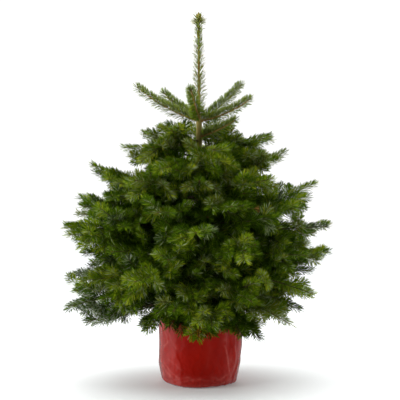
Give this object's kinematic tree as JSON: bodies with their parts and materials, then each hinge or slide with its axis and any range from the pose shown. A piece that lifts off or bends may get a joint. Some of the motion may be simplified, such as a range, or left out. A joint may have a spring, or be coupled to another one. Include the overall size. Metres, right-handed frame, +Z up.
{
  "type": "potted conifer tree",
  "caption": "Young Nordmann fir with layered whorls of needle sprays and a long upright leader, in a pot wrapped in glossy red film.",
  "frame": {"origin": "centre of the flat underside of the wrapped pot, where the plant stands on the floor", "axes": "+Z up along the trunk, -Y towards the picture's camera, +X to the right in the picture"},
  "size_m": [0.7804, 0.6969, 1.028],
  "materials": {
    "bark": "rough young bark",
    "needles": "waxy dark green needles",
    "young_needles": "waxy mid green needles",
    "red_film": "glossy creased film",
    "pot_plastic": "matt black",
    "soil": "moist granular compost"
  },
  "bodies": {
    "root": {"bough_3a": "bark", "bough_3c": "bark", "bough_3d": "bark", "bough_4a": "bark", "bough_4b": "bark", "bough_4c": "bark", "bough_4d": "bark", "bough_4e": "bark", "bough_5a": "bark", "bough_5b": "bark", "bough_5c": "bark", "bough_5d": "bark", "bough_5e": "bark", "bough_5f": "bark", "bough_6a": "bark", "bough_6b": "bark", "bough_6c": "bark", "bough_6d": "bark", "bough_6e": "bark", "bough_7b": "bark", "bough_7c": "bark", "bough_7d": "bark", "film_wrap": "red_film", "foliage_1a": "young_needles", "foliage_1b": "young_needles", "foliage_1c": "young_needles", "foliage_1d": "young_needles", "foliage_1e": "young_needles", "foliage_2a": "young_needles", "foliage_3a": "needles", "foliage_3b": "needles", "foliage_3c": "needles", "foliage_3d": "needles", "foliage_3e": "needles", "foliage_4a": "needles", "foliage_4b": "needles", "foliage_4c": "needles", "foliage_4d": "needles", "foliage_4e": "needles", "foliage_5a": "needles", "foliage_5b": "needles", "foliage_5c": "needles", "foliage_5d": "needles", "foliage_5e": "needles", "foliage_5f": "needles", "foliage_6a": "needles", "foliage_6b": "needles", "foliage_6c": "needles", "foliage_6d": "needles", "foliage_6e": "needles", "foliage_7a": "needles", "foliage_7b": "needles", "foliage_7c": "needles", "foliage_7d": "needles", "foliage_7e": "needles", "foliage_leader": "young_needles", "nursery_pot": "pot_plastic", "soil": "soil", "trunk": "bark"}
  },
  "joints": []
}
